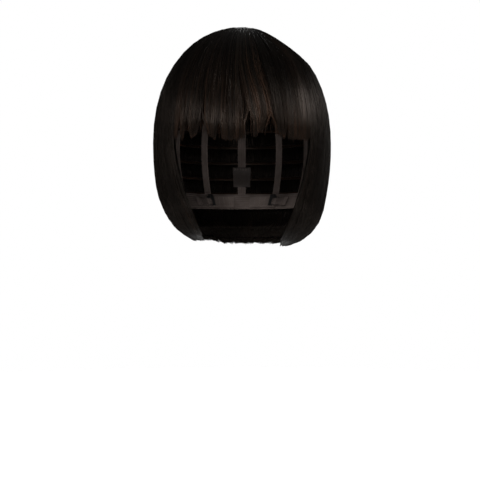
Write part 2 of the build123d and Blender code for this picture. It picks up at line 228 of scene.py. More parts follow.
def add_piece(name, part, material, body="cap", nodes=None):
    """Makes a mesh object that rides on a body, and shows the CAD node of its name or other nodes."""
    vertices, quads, triangles, tone, along = part
    mesh = bpy.data.meshes.new(name)
    corners = np.concatenate([quads.ravel(), triangles.ravel()]).astype(np.int32)
    starts = np.concatenate([np.arange(len(quads)) * 4, len(quads) * 4 + np.arange(len(triangles)) * 3])
    mesh.vertices.add(len(vertices))
    mesh.vertices.foreach_set("co", vertices.astype(np.float32).ravel())
    mesh.loops.add(len(corners))
    mesh.loops.foreach_set("vertex_index", corners)
    mesh.polygons.add(len(starts))
    mesh.polygons.foreach_set("loop_start", starts.astype(np.int32))
    mesh.polygons.foreach_set("use_smooth", np.ones(len(starts), bool))
    mesh.update(calc_edges=True)
    for key, values in (("tone", tone), ("along", along)):
        attribute = mesh.attributes.new(key, "FLOAT", "POINT")
        attribute.data.foreach_set("value", np.asarray(values, np.float32))
    mesh.materials.append(material)
    piece = add_object(name, mesh)
    if body is not None:
        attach(piece, body)
    if nodes is None:
        nodes = [name]
    if nodes:
        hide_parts(*nodes)
    return piece


# ---- materials


def set_sockets(tree, node, sockets):
    """Sets a node's inputs, or links them to other nodes' outputs."""
    for name, value in sockets.items():
        if isinstance(value, bpy.types.NodeSocket):
            tree.links.new(value, node.inputs[name])
        else:
            node.inputs[name].default_value = value


def add_node(tree, kind, sockets):
    node = tree.nodes.new(f"ShaderNode{kind}")
    set_sockets(tree, node, sockets)
    return node


def new_material(name, roughness, specular=0.5, sheen=0.0, anisotropic=0.0, tint=(1, 1, 1)):
    """A material, its node tree and its one Principled shader."""
    material = bpy.data.materials.new(name)
    material.use_nodes = True
    tree = material.node_tree
    shader = tree.nodes["Principled BSDF"]
    set_sockets(tree, shader, {
        "Roughness": roughness, "Specular IOR Level": specular, "Specular Tint": (*tint, 1),
        "Sheen Weight": sheen, "Anisotropic": anisotropic,
    })
    return material, tree, shader


def attribute(tree, name):
    """A value that the mesh carries at each point."""
    node = add_node(tree, "Attribute", {})
    node.attribute_name = name
    return node.outputs["Fac"]


def noise(tree, scale, detail=3.0, stretch=(1, 1, 1)):
    """Noise in object space, stretched along an axis where asked."""
    place = add_node(tree, "TexCoord", {})
    mapping = add_node(tree, "Mapping", {"Vector": place.outputs["Object"], "Scale": stretch})
    sockets = {"Vector": mapping.outputs["Vector"], "Scale": scale, "Detail": detail}
    return add_node(tree, "TexNoise", sockets).outputs["Fac"]


def calculate(tree, operation, first, second):
    """Joins two numbers or outputs by an operation."""
    node = add_node(tree, "Math", {0: first, 1: second})
    node.operation = operation
    return node.outputs[0]


def colour(tree, value, shader, stops):
    """Lets a value from 0 to 1 set the shader's colour, by (position, colour) stops."""
    node = add_node(tree, "ValToRGB", {"Fac": value})
    elements = node.color_ramp.elements
    while len(elements) < len(stops):
        elements.new(0.5)
    for element, (position, shade) in zip(elements, stops):
        element.position = position
        element.color = (*shade, 1)
    set_sockets(tree, shader, {"Base Color": node.outputs["Color"]})


def roughen(tree, value, shader, low, high):
    """Lets a value from 0 to 1 set the shader's roughness, from low to high."""
    node = add_node(tree, "MapRange", {"Value": value, "To Min": low, "To Max": high})
    set_sockets(tree, shader, {"Roughness": node.outputs["Result"]})


def bump(tree, height, shader, strength, distance):
    node = add_node(tree, "Bump", {"Height": height, "Strength": strength, "Distance": distance})
    set_sockets(tree, shader, {"Normal": node.outputs["Normal"]})


# The hair's colours from cool black to warm brown, for its dye and for the light and shade painted into it:
# position in its range and colour
HAIR_DYE_AND_PAINTED_LIGHT = (
    (0.0, (0.0014, 0.0012, 0.0010)),
    (0.40, (0.0033, 0.0026, 0.0021)),
    (0.70, (0.0110, 0.0069, 0.0048)),
    (1.0, (0.0400, 0.0215, 0.0135)),
)
PATCH_WARMTH, PAINTED_TIP_LIGHT_SHARE = 0.45, 0.45  # how far patches of dye and the painted light towards the ends go into its range
WARMTH = 0.55  # share of the range that the strands use
GRAIN_GLOSS = 0.4
DULL, GLOSSY = 0.40, 0.22  # roughness of the darkest and of the palest strands


def hair_material(name, lightness):
    """Near-black fibre: each strand has its own tone, with painted light making it warmer and lighter low
    down.
    """
    material, tree, shader = new_material(
        name, roughness=0.34, specular=0.16, anisotropic=0.4, tint=(1.0, 0.82, 0.70)
    )
    tone = attribute(tree, "tone")
    warmth = calculate(tree, "MULTIPLY", noise(tree, scale=22.0), PATCH_WARMTH)
    warmth = calculate(tree, "ADD", warmth, tone)
    # Painted light: warmer and lighter towards the ends, standing in for light through the thin tips
    low = calculate(tree, "MULTIPLY", attribute(tree, "along"), PAINTED_TIP_LIGHT_SHARE)
    warmth = calculate(tree, "ADD", warmth, low)
    warmth = calculate(tree, "MULTIPLY", warmth, WARMTH)
    stops = [(position, tuple(lightness * part for part in shade)) for position, shade in HAIR_DYE_AND_PAINTED_LIGHT]
    colour(tree, warmth, shader, stops)
    grain = noise(tree, scale=900.0, detail=2.0, stretch=(1, 1, 0.06))
    gloss = calculate(tree, "MULTIPLY", grain, GRAIN_GLOSS)
    roughen(tree, calculate(tree, "ADD", gloss, tone), shader, DULL, GLOSSY)
    bump(tree, grain, shader, strength=0.5, distance=0.2 * MM)
    return material


def cloth_material(name, dark, light, thread=900.0, sheen=0.0, roughness=0.85):
    """Woven cloth: crossed threads in bump, with uneven dye."""
    material, tree, shader = new_material(name, roughness, specular=0.25, sheen=sheen)
    colour(tree, noise(tree, scale=60.0, detail=4.0), shader, ((0.3, dark), (0.7, light)))
    upright = noise(tree, thread, detail=1.0, stretch=(1, 1, 0.15))
    level = noise(tree, thread, detail=1.0, stretch=(0.15, 0.15, 1))
    both = calculate(tree, "MAXIMUM", upright, level)
    bump(tree, both, shader, strength=0.6, distance=0.3 * MM)
    return material


def plastic_material(name, dark, light, roughness):
    """Moulded plastic: slight mottling and fine wear."""
    material, tree, shader = new_material(name, roughness)
    mottle = noise(tree, scale=150.0, detail=5.0)
    colour(tree, mottle, shader, ((0.35, dark), (0.75, light)))
    roughen(tree, mottle, shader, roughness - 0.08, roughness + 0.15)
    bump(tree, mottle, shader, strength=0.15, distance=0.2 * MM)
    return material


# Painted light: the inner hair is a 1.5 times lighter copy of the outer hair, standing in for light inside
# the cap
OUTER_HAIR = hair_material("outer_hair", 1.0)
PAINTED_LIGHT_INNER_HAIR = hair_material("inner_hair_painted_lighter", 1.5)
NET = cloth_material("cap_net", (0.060, 0.046, 0.040), (0.105, 0.082, 0.072), 1600.0)
LACE = cloth_material("stretch_lace", (0.075, 0.058, 0.051), (0.130, 0.103, 0.092))
VELVET = cloth_material("velvet", (0.020, 0.016, 0.014), (0.036, 0.028, 0.025), 1500.0, sheen=0.4)
ELASTIC = cloth_material("elastic", (0.070, 0.054, 0.048), (0.120, 0.095, 0.084), 1200.0)
RIBBON = cloth_material("ribbon", (0.085, 0.067, 0.059), (0.140, 0.112, 0.099), 1400.0, roughness=0.6)
THREAD = cloth_material("thread", (0.150, 0.120, 0.105), (0.230, 0.190, 0.170), 2000.0, roughness=0.7)
LABEL = cloth_material("label_satin", (0.036, 0.029, 0.026), (0.058, 0.047, 0.042), 2200.0, roughness=0.6)
TAB_CLOTH = cloth_material("tab_cloth", (0.060, 0.047, 0.042), (0.100, 0.080, 0.070), 1100.0)
HOOK = plastic_material("hook_plastic", (0.010, 0.010, 0.010), (0.024, 0.023, 0.023), 0.28)
STAY = plastic_material("stay_plastic", (0.060, 0.060, 0.062), (0.100, 0.100, 0.102), 0.45)

# ---- hair

LAYER_GAP, CAP_GAP = 0.3 * MM, 0.6 * MM
TRACK_HEIGHT = 3 * MM
TRACK_DEPTH = 1.1 * MM
TRACK_HALF_DEPTH, TRACK_HALF_HEIGHT = 0.77 * MM, 1.65 * MM
THREAD_RADIUS = 0.2 * MM
CROWN_START = 0.003  # t at the edge of the whorl's middle
FRINGE_T = t_at_height(FRINGE_CUT, 0.0)
INSETS = np.linspace(0, CAP_INSET, 19)
BROW_RADII = [profile(np.array(t_at_height(FRINGE_CUT, d)), d)[0] for d in INSETS]


def curtain_edge(t, inset):
    """Azimuth of a side curtain's front edge, along the face opening."""
    radius, height = profile(t, inset)
    down = np.clip((FRINGE_CUT - height) / (FRINGE_CUT - TIP_HEIGHT), 0, 1)
    half = OPENING_BROW + (OPENING_CHIN - OPENING_BROW) * down**OPENING_POWER
    brow_radius = np.interp(inset, INSETS, BROW_RADII)
    reach = np.where(height > FRINGE_CUT, OPENING_BROW / brow_radius, half / radius)
    return np.degrees(np.arcsin(np.clip(reach, 0, 1)))


def sector_limits(first, last):
    return lambda t, inset: (first + 0 * t, last + 0 * t)


def curtain_limits(side):
    """A side curtain from its front edge back to the ear; side is +1 on the wearer's left."""
    return lambda t, inset: (side * curtain_edge(t, inset), side * SIDE_AZIMUTH + 0 * t)


WHORL_TURN = 70.0  # degrees that the hair swirls round the crown's middle
WHORL_REACH = 0.04

# Where the fringe parts at its cut: x, half opening, and reach up the hair as a share of its length
FRINGE_NOTCHES = (
    (-63 * MM, 1.8 * MM, 0.05),
    (-55.5 * MM, 3.5 * MM, 0.045),
    (-40 * MM, 5 * MM, 0.045),
    (-23 * MM, 3 * MM, 0.03),
    (7 * MM, 4.2 * MM, 0.062),
    (27.5 * MM, 5 * MM, 0.05),
    (45 * MM, 1.2 * MM, 0.03),
)
# Long narrow slits where the fringe thins: x at the cut, half opening, and t at their two ends
FRINGE_SLITS = (
    (-58 * MM, 0.8 * MM, 0.37, 0.50),
    (-38 * MM, 0.6 * MM, 0.42, 0.52),
    (16 * MM, 0.8 * MM, 0.36, 0.53),
    (27 * MM, 1.1 * MM, 0.40, 0.56),
)
LOCK_TONE, FRINGE_LOCK_TONE = 0.20, 0.32  # how much one lock's tone differs from another's
PAINTED_TIP_LIGHT, PAINTED_FRINGE_TIP_LIGHT = 0.3, 1.9  # painted light: how much lighter and warmer the ends are made, standing in for light through the thin tips
PAINTED_TIP_LIGHT_POWER = 2.0  # how late along a strand the painted tip light starts; the darker roots stand in for the crown's shade
PAINTED_SLIT_HIGHLIGHT = 0.5  # painted highlight: how much lighter a strand beside a slit is
SLIT_SIDE = 2.2 * MM
SWEEP = 8.0  # degrees that the fringe left of the wearer's nose slants outwards
SWEEP_MIDDLE, SWEEP_WIDTH = 13.0, 14.0
STRAY_SHARE = 0.012  # strands that cross the notches
# How much shorter the fringe is cut, as a share of the hair's length: azimuth and share
FRINGE_LENGTHS = (
    (-50, -0.004), (-30, 0.006), (-8, -0.014), (2, -0.008),
    (14, 0.018), (24, 0.004), (34, -0.006), (50, -0.006),
)


def whorl(t):
    """Degrees that the hair is turned by, this far from the crown."""
    return WHORL_TURN * np.exp(-t / WHORL_REACH)


def fringe_short(azimuth):
    return np.interp(azimuth, *zip(*FRINGE_LENGTHS))


def across_fringe(azimuth, inset):
    """How far across the face a fringe strand's end hangs, at its own depth in the hair."""
    return np.interp(inset, INSETS, BROW_RADII) * np.sin(np.radians(azimuth))


def part_fringe(rng, azimuth, inset, t, cut):
    """Slants the fringe and parts it at its slits and notches."""
    settled = rng.uniform(0, 1, (len(azimuth), 1)) > STRAY_SHARE
    radius = np.interp(inset, INSETS, BROW_RADII)
    x = across_fringe(azimuth, inset)
    end = x[:, -1:]
    moved = 0 * x
    for middle, half, reach in FRINGE_NOTCHES:
        near = np.exp(-(((end - middle) / (1.6 * half)) ** 2))
        opened = smooth((t - cut + reach) / (0.6 * reach))
        moved = moved + np.sign(end - middle) * half * near * opened
    for middle, half, top, bottom in FRINGE_SLITS:
        near = np.exp(-(((end - middle) / (2.5 * half)) ** 2))
        opened = smooth((t - top) / 0.05) * smooth((bottom + 0.04 - t) / 0.04)
        moved = moved + np.sign(end - middle) * half * near * opened
    azimuth = azimuth + np.degrees(moved * settled / (radius * np.cos(np.radians(azimuth))))
    slant = SWEEP * np.exp(-(((azimuth - SWEEP_MIDDLE) / SWEEP_WIDTH) ** 2))
    return azimuth - slant * smooth((cut - 0.04 - t) / 0.20)


def painted_slit_highlight(x):
    """The painted highlight beside the fringe's slits: how much lighter the strands there are, by where they
    end.
    """
    near = [np.exp(-(((x - slit[0]) / SLIT_SIDE) ** 2)) for slit in FRINGE_SLITS]
    return PAINTED_SLIT_HIGHLIGHT * np.sum(near, axis=0)


GOLDEN = 0.61803  # spreads the locks evenly over their sector
LOCK_WIDTH = 2.2  # of a lock, in even shares of its sector
OVERHANG = 0.012  # share of its sector by which a strand may hang past the edge
GATHER_FROM = 0.35  # how far along the strands their lock starts to gather
SWAY, RIPPLE = 0.25, 0.3 * MM  # of a lock, across in lock widths, and in and out
SETTLE = 0.06  # t over which a strand sinks from its root into its layer
FLATNESS = 0.8  # thickness of a strand over its width


def strands(rng, limits, depths, roots, tip, locks, each, steps, size,
            swirl=False, fringe=False, ragged=0.010, clump=0.55, flyaway=0.0, blunt=1.0):
    """Strands in locks, from roots (a range of t) at the last inset to the tip, between the others."""
    outer, inner, root_inset = depths
    count = locks * each
    lock = np.repeat(np.arange(locks), each)
    lock_share = (np.arange(locks) * GOLDEN + rng.uniform(0, 0.3, locks)) % 1.0
    lock_depth = rng.uniform(0, 1, locks)
    lock_tip = rng.normal(0, 0.45, locks)
    lock_wave = rng.uniform(0, 2 * math.pi, (2, locks))
    spread = LOCK_WIDTH / locks
    share = np.clip(lock_share[lock] + rng.normal(0, spread, count), -OVERHANG, 1 + OVERHANG)
    aside = (share - lock_share[lock]) / spread
    depth = np.clip(0.6 * lock_depth[lock] + 0.12 * aside**2 + rng.normal(0, 0.07, count), 0, 1)
    root = rng.uniform(0, 1, count) ** 1.3 * (roots[1] - roots[0]) + roots[0]
    end = tip + ragged * (lock_tip[lock] * 0.5 + rng.normal(0, 0.45, count))
    if fringe:
        first, last = limits(0.5, outer)
        end = end - fringe_short(first + (last - first) * share)
    u = np.linspace(0, 1, steps)
    t = root[:, None] + (end - root)[:, None] * u
    gather = 1 - clump * between(u, GATHER_FROM, 1)
    centre = np.clip(lock_share[lock], 0.0, 1.0)[:, None]
    shares = centre + (share[:, None] - centre) * gather
    shares = shares + SWAY * spread * np.sin(lock_wave[0][lock][:, None] + 5 * u)
    lift = rng.uniform(0, 1, count)[:, None] ** 8 * flyaway
    inset = outer + (inner - outer) * depth[:, None] - lift * np.sin(math.pi * u) ** 2
    inset = inset + RIPPLE * np.sin(lock_wave[1][lock][:, None] + 7 * u)
    settle = smooth((t - root[:, None]) / SETTLE)
    inset = root_inset + (inset - root_inset) * settle
    first, last = limits(t, inset)
    azimuth = first + (last - first) * shares
    if swirl:
        azimuth = azimuth + whorl(t)
    warm = 0.0
    if fringe:
        # Painted highlight on the strands that end beside the fringe's slits
        warm = painted_slit_highlight(across_fringe(azimuth[:, -1], inset[:, -1]))
        azimuth = part_fringe(rng, azimuth, inset, t, tip)
    paths = on_shell(azimuth, t, inset)
    outward = unit(on_shell(azimuth, t, inset - MM) - paths)
    narrowing = smooth((u - 0.82 - 0.1 * blunt) / (0.18 - 0.1 * blunt))
    taper = np.clip(0.35 + 3.0 * u, 0, 1) * (1 - (0.75 - 0.35 * blunt) * narrowing)
    width = size * taper * rng.uniform(0.7, 1.35, count)[:, None]
    vertices, quads, caps = tubes(paths, outward, width * FLATNESS, width)
    lock_tone = rng.normal(0, FRINGE_LOCK_TONE if fringe else LOCK_TONE, locks)
    tone = np.clip(rng.beta(1.5, 4.0, count) * (0.8 + warm) + lock_tone[lock] + 0.3 * warm, 0, 0.9)
    # Painted light towards the ends of the strands, and painted shade at their roots
    along = np.tile(np.repeat(u**PAINTED_TIP_LIGHT_POWER, 3), count) * (PAINTED_FRINGE_TIP_LIGHT if fringe else PAINTED_TIP_LIGHT)
    return vertices, quads, caps, np.repeat(tone, steps * 3), along


# Ridges of the mass of hair: radians from column to column, and from the crown to the ends
RIDGES = ((0.9, 6.0), (0.47, 9.0), (1.7, 4.0))


def base(rng, limits, depths, ends, columns, rows, swirl=False, ridge=0.6 * MM, fade=0.05):
    """The closed mass of hair under the strands, ridged into locks and thinned to its end."""
    outer, inner = depths
    first_t, last_t = ends
    t = np.linspace(first_t, last_t, rows)[:, None]
    share = np.linspace(0, 1, columns)[None, :]
    ridges = sum(
        np.sin(share * columns * frequency + rng.uniform(0, 2 * math.pi) + wobble * t)
        for frequency, wobble in RIDGES
    ) / len(RIDGES)
    thinned = 0.45 * (inner - outer) * (1 - smooth((last_t - t) / fade))
    insets = outer + ridge * (1 - ridges) + thinned, inner - thinned + 0 * share
    first, last = limits(t, outer)
    azimuth = first + (last - first) * share + (whorl(t) if swirl else 0)
    grids = [on_shell(azimuth, t + 0 * share, inset) for inset in insets]
    if np.mean(last - first) > 0:
        grids = [grid[:, ::-1] for grid in grids]
        ridges = ridges[:, ::-1]
    vertices, quads, caps = slab(*grids)
    # Painted shade and highlight: the tone follows the ridges, darker in the grooves between the locks and
    # lighter on their crests
    tone = np.tile(0.22 + 0.14 * ridges.ravel(), 2)
    # Painted light: the mass is made warmer and lighter low down, like the strands' ends
    along = np.tile((t + 0 * share).ravel(), 2)
    return vertices, quads, caps, tone, along


def plain(part, tone=0.5, along=0.5):
    """Gives a part the same tone all over."""
    return [*part, np.full(len(part[0]), tone), np.full(len(part[0]), along)]


def ring_path(radius, azimuths, heights):
    """Points round the head at some heights, and the way out from it there."""
    turn = np.radians(azimuths)
    points = placed(radius, turn, heights)
    outward = np.stack([np.sin(turn), -np.cos(turn) / DEPTH_RATIO, 0 * turn], axis=-1)
    return points, unit(outward)


def track(azimuths, height, points):
    """A weft's sewn head: a rounded band with a zigzag of thread on both faces."""
    radius = CAP_RADIUS * math.sqrt(1 - (height / CAP_TOP) ** 2) + TRACK_DEPTH
    middle = height + TRACK_HEIGHT / 2
    path, outward = ring_path(radius, np.linspace(*azimuths, points), middle)
    size = np.ones((1, points))
    band = tubes(path[None], outward[None], size * TRACK_HALF_DEPTH, size * TRACK_HALF_HEIGHT, 8)
    parts = [plain(band, tone=0.45)]
    turns = np.linspace(*azimuths, points * 2)
    swing = TRACK_HEIGHT / 2 * (np.arange(len(turns)) % 2 * 2 - 1)
    for face in (-1, 1):
        path, outward = ring_path(radius + face * TRACK_HALF_DEPTH, turns, middle + swing)
        size = np.full((1, len(turns)), THREAD_RADIUS)
        parts.append(plain(tubes(path[None], outward[None], size, size), tone=1.0, along=1.0))
    return parts


def row_insets(rows, index):
    """Outer and inner inset of a weft's hair; the lowest row is innermost."""
    innermost = CAP_INSET - CAP_GAP
    pitch = (innermost - OUTER_LAYER - LAYER_GAP) / rows
    inner = innermost - index * pitch
    return inner - pitch + LAYER_GAP, inner


BARE, FRINGE_BARE = 0.045, 0.09  # t by which the strands hang past the mass
WEFT_STRAND, UNDER_STRAND = 0.40 * MM, 0.38 * MM
OVER_STRAND, FRINGE_STRAND = 0.32 * MM, 0.34 * MM


def weft(rng, name, limits, tip, insets, amounts, track_ends, fringe=False):
    """One weft: its track, its mass of hair on the outer side, and its strands facing in.

    The amounts are the locks, the strands in each and their steps, then the mass's columns and rows.
    """
    outer, inner = insets
    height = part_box(name)[1].z - TRACK_HEIGHT
    start = t_at_height(height + TRACK_HEIGHT / 2, (outer + inner) / 2)
    locks, each, steps, columns, rows = amounts
    bare = FRINGE_BARE if fringe else BARE
    mass = outer + 0.1 * MM, outer + 0.55 * (inner - outer)
    facing_in = inner, outer + 0.2 * (inner - outer), CAP_INSET - TRACK_DEPTH
    roots = start - 0.002, start + 0.01
    add_piece(name, merged([
        base(rng, limits, mass, (start, tip - bare), columns, rows, ridge=0.3 * MM),
        strands(rng, limits, facing_in, roots, tip, locks, each, steps, WEFT_STRAND,
                fringe=fringe, ragged=0.008, clump=0.3),
        *track(track_ends, height, columns),
    ]), PAINTED_LIGHT_INNER_HAIR)


rng = np.random.default_rng(7)
SIDES = ((1, "left"), (-1, "right"))
# The crown's hair, by inset: the mass that fills it, strands on top, strands under them, and their roots
MASS = 2.2 * MM, OUTER_LAYER
OVER, UNDER = (0.1 * MM, 2.0 * MM, 3.0 * MM), (1.8 * MM, 4.6 * MM, 5.2 * MM)
FLYAWAY = 1.2 * MM
FRINGE_ROOTS, ROOTS = (CROWN_START, 0.16), (CROWN_START, 0.20)
SIDE_TIPS = {"left": 1.022, "right": 1.0}
BACK_TIP, NAPE_TIP = 0.995, 0.975
FRONT_LAP, BACK_LAP = 1.0, 0.5  # degrees that the front and back sectors overlap others

front = sector_limits(-FRINGE_AZIMUTH - FRONT_LAP, FRINGE_AZIMUTH + FRONT_LAP)
add_piece("crown_hair_front", merged([
    base(rng, front, MASS, (CROWN_START, FRINGE_T - 0.10), columns=240, rows=30, swirl=True),
    strands(rng, front, UNDER, FRINGE_ROOTS, FRINGE_T, locks=60, each=24, steps=14, size=UNDER_STRAND,
            swirl=True, fringe=True),
]), OUTER_HAIR)
add_piece("crown_hair_front_over", merged([
    strands(rng, front, OVER, FRINGE_ROOTS, FRINGE_T, locks=84, each=26, steps=16, size=FRINGE_STRAND,
            swirl=True, fringe=True, ragged=0.008, flyaway=FLYAWAY),
]), OUTER_HAIR, nodes=["crown_hair_front"])

sectors = [
    (f"crown_hair_{side_name}", curtain_limits(side), SIDE_TIPS[side_name], 120) for side, side_name in SIDES
]
back_turn = (360 - 2 * SIDE_AZIMUTH) / 3
for index, back_name in enumerate(("left", "middle", "right")):
    start = SIDE_AZIMUTH + index * back_turn
    limits = sector_limits(start - BACK_LAP, start + back_turn + BACK_LAP)
    sectors.append((f"crown_hair_back_{back_name}", limits, BACK_TIP, 130))
for name, limits, tip, columns in sectors:
    add_piece(name, merged([
        base(rng, limits, MASS, (CROWN_START, tip - 0.012), columns, rows=44, swirl=True, fade=0.025),
        strands(rng, limits, UNDER, ROOTS, tip, locks=40, each=20, steps=16, size=UNDER_STRAND,
                swirl=True, clump=0.25),
    ]), OUTER_HAIR)
    add_piece(f"{name}_over", merged([
        strands(rng, limits, OVER, ROOTS, tip, locks=60, each=24, steps=19, size=OVER_STRAND,
                swirl=True, clump=0.45, flyaway=FLYAWAY, blunt=0.8),
    ]), OUTER_HAIR, nodes=[name])

# Wefts: the lowest row is innermost and is seen from inside, so it has the most strands
BACK_ROWS, SIDE_ROWS, FRINGE_ROWS = 8, 5, 3
BACK_STEP, SIDE_STEP = 0.002, 0.006  # how much further down, in t, each row reaches
back_ends = SIDE_AZIMUTH + BACK_LAP, 360 - SIDE_AZIMUTH - BACK_LAP
for index in range(BACK_ROWS):
    each = 34 if index == 0 else 12
    weft(rng, f"back_weft_{index + 1}", sector_limits(*back_ends), NAPE_TIP + BACK_STEP * index,
         row_insets(BACK_ROWS, index), (42, each, 11, 180, 18), back_ends)
for index in range(SIDE_ROWS):
    for side, side_name in SIDES:
        tip = SIDE_TIPS[side_name] - 0.004 * (side > 0) - SIDE_STEP * (SIDE_ROWS - index)
        each = 40 if index == 0 else 16
        weft(rng, f"side_weft_{side_name}_{index + 1}", curtain_limits(side), tip,
             row_insets(SIDE_ROWS, index), (24, each, 12, 70, 20),
             (side * (FRINGE_AZIMUTH + 1), side * SIDE_AZIMUTH))
for index in range(FRINGE_ROWS):
    insets = row_insets(FRINGE_ROWS, index)
    weft(rng, f"fringe_weft_{index + 1}", front, t_at_height(FRINGE_CUT, sum(insets) / 2), insets,
         (36, 20, 11, 110, 12), (-FRINGE_AZIMUTH, FRINGE_AZIMUTH), fringe=True)

# Teased fibre under the crown: short ragged hair on a closed mass
tease_t = t_at_height(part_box("crown_teasing")[0].z, OUTER_LAYER)
all_round = sector_limits(0.0, 360.0)
tease_mass = OUTER_LAYER + 0.6 * MM, CAP_INSET - 1.0 * MM
tease_depths = OUTER_LAYER + 0.3 * MM, CAP_INSET - 2 * MM, CAP_INSET - 1.5 * MM
add_piece("crown_teasing", merged([
    base(rng, all_round, tease_mass, (0.01, tease_t), columns=180, rows=14),
    strands(rng, all_round, tease_depths, (0.02, 0.3), tease_t, locks=60, each=10, steps=9,
            size=WEFT_STRAND, ragged=0.05, clump=0.0, blunt=0.5),
]), PAINTED_LIGHT_INNER_HAIR)

# ---- cap

FRONT_NET, SIDE_NET, EAR_ELASTIC = 62.0, 108.0, 115.0  # azimuths where the panels end
NET_DEPTH = 0.6 * MM
NET_THREAD = 0.22 * MM  # radius
NET_OFFSET = 0.12 * MM  # of each way of the threads from the net's middle
NET_SPACING, PATCH_SPACING = 2.6, 9.0  # degrees between threads
FRONT_SLANT, SIDE_SLANT, PATCH_SLANT = 40, 60, 70  # degrees that they turn on their way up
PANEL_MARGIN, PANEL_GAP = 0.7, 1.0  # degrees from a panel's azimuths to its binding
SEWN_GAP = 0.1 * MM
PIPING = 0.5 * MM  # radius of the piping along the edges of the bands
TRIM_DEPTH = 1.2 * MM  # inner face of what is sewn inside the cap
EDGE, EDGE_FLATNESS = 1.1 * MM, 0.3
STITCH_LENGTH = 2.6 * MM


def cap_round_radius(height, depth):
    return (CAP_RADIUS - depth) * np.sqrt(np.clip(1 - (height / (CAP_TOP - depth)) ** 2, 0, 1))


def on_cap(azimuth, height, depth):
    """Points on the cap's surface, this deep inside it."""
    return placed(cap_round_radius(height, depth), np.radians(azimuth), height)


def out_of_cap(azimuth, height, depth):
    return unit(on_cap(azimuth, height, depth - MM) - on_cap(azimuth, height, depth))


def cap_cloth(azimuth, height, outer, inner, ribs=0.0, rib_count=0, upright=True):
    """A closed strip of cloth over grids of azimuths and heights, ribbed where asked."""
    rows, columns = np.broadcast_shapes(azimuth.shape, height.shape)
    azimuth, height = np.broadcast_arrays(azimuth, height)
    count = columns if upright else rows
    wave = np.cos(2 * math.pi * rib_count * np.arange(count) / (count - 1)) * ribs
    wave = wave[None, :] if upright else wave[:, None]
    outside = on_cap(azimuth, height, outer + ribs + wave)
    inside = on_cap(azimuth, height, inner - ribs + wave)
    if azimuth[0, 0] < azimuth[0, -1]:
        outside, inside = outside[:, ::-1], inside[:, ::-1]
    if height[0, 0] < height[-1, 0]:
        outside, inside = outside[::-1], inside[::-1]
    return plain(slab(outside, inside))


def piping(azimuth, height, depth, radius, flat=1.0):
    """Piping along a line on the cap, round or flattened."""
    azimuth, height = np.broadcast_arrays(azimuth, height)
    path = on_cap(azimuth, height, depth)[None]
    size = np.full((1, len(azimuth)), radius)
    return plain(tubes(path, out_of_cap(azimuth, height, depth)[None], size * flat, size, 6))


def seam(path, outward, lift):
    """A row of stitches along a path (k, 3), each a short bent thread."""
    steps = np.linalg.norm(np.diff(path, axis=0), axis=1)
    length = np.concatenate([[0], np.cumsum(steps)])
    count = max(1, int(length[-1] / STITCH_LENGTH))
    place = (np.arange(count)[:, None] + np.linspace(0.12, 0.88, 4)) * length[-1] / count
    arch = lift * np.array([-0.6, 1, 1, -0.6])
    points = np.stack([np.interp(place, length, path[:, i]) for i in range(3)], axis=-1)
    out = unit(np.stack([np.interp(place, length, outward[:, i]) for i in range(3)], axis=-1))
    size = np.full(place.shape, THREAD_RADIUS)
    return plain(tubes(points + arch[None, :, None] * out, out, size, size))


def cap_seam(azimuth, height, depth):
    """A row of stitches along a line on an inner face."""
    azimuth, height = np.broadcast_arrays(azimuth, height)
    return seam(on_cap(azimuth, height, depth), -out_of_cap(azimuth, height, depth), THREAD_RADIUS)


def net(azimuths, heights, spacing, slant):
    """Crossed threads over a panel; slant is the turn from its bottom to its top."""
    low, high = azimuths
    parts = []
    for way in (slant, -slant):
        starts = np.arange(low - abs(slant), high + abs(slant), spacing)
        enter = np.clip((np.where(way > 0, low, high) - starts) / way, 0, 1)
        leave = np.clip((np.where(way > 0, high, low) - starts) / way, 0, 1)
        kept = leave - enter > 0.04
        u = enter[kept, None] + (leave - enter)[kept, None] * np.linspace(0, 1, 26)
        azimuth = starts[kept, None] + way * u
        height = heights[0] + (heights[1] - heights[0]) * u
        depth = NET_DEPTH / 2 + np.sign(way) * NET_OFFSET
        size = np.full(u.shape, NET_THREAD)
        path, outward = on_cap(azimuth, height, depth), out_of_cap(azimuth, height, depth)
        parts.append(plain(tubes(path, outward, size, size)))
    return parts


def bound(azimuths, heights):
    """A flat binding round a panel's four edges."""
    across, up = np.linspace(*azimuths, 60), np.linspace(*heights, 40)
    edges = [(across, height) for height in heights] + [(azimuth, up) for azimuth in azimuths]
    return [piping(azimuth, height, NET_DEPTH / 2, EDGE, EDGE_FLATNESS) for azimuth, height in edges]


def stitched(name, lines, body="cap"):
    """A piece of its own for rows of stitches."""
    return add_piece(name, merged(lines), THREAD, body, nodes=())


def declare_cloth(azimuths, heights):
    """Works out points on the cap over a strip's azimuths and heights, and does nothing more with them."""
    grid = on_cap(*np.broadcast_arrays(azimuths, heights), NET_DEPTH)


def heights_of(node):
    low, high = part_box(node)
    return low.z, high.z


def net_panel(node, azimuths, slant):
    """A bound panel of crossed threads."""
    low, high = heights_of(node)
    panel = azimuths, (low + EDGE, high - EDGE)
    parts = net(*panel, NET_SPACING, slant) + bound(*panel)
    add_piece(node, merged(parts), NET)


net_panel("front_net_panel", (PANEL_MARGIN - FRONT_NET, FRONT_NET - PANEL_MARGIN), FRONT_SLANT)
net_panel("side_net_panel_left", (FRONT_NET + PANEL_GAP, SIDE_NET - PANEL_MARGIN), SIDE_SLANT)
net_panel("side_net_panel_right", (PANEL_MARGIN - SIDE_NET, -FRONT_NET - PANEL_GAP), SIDE_SLANT)

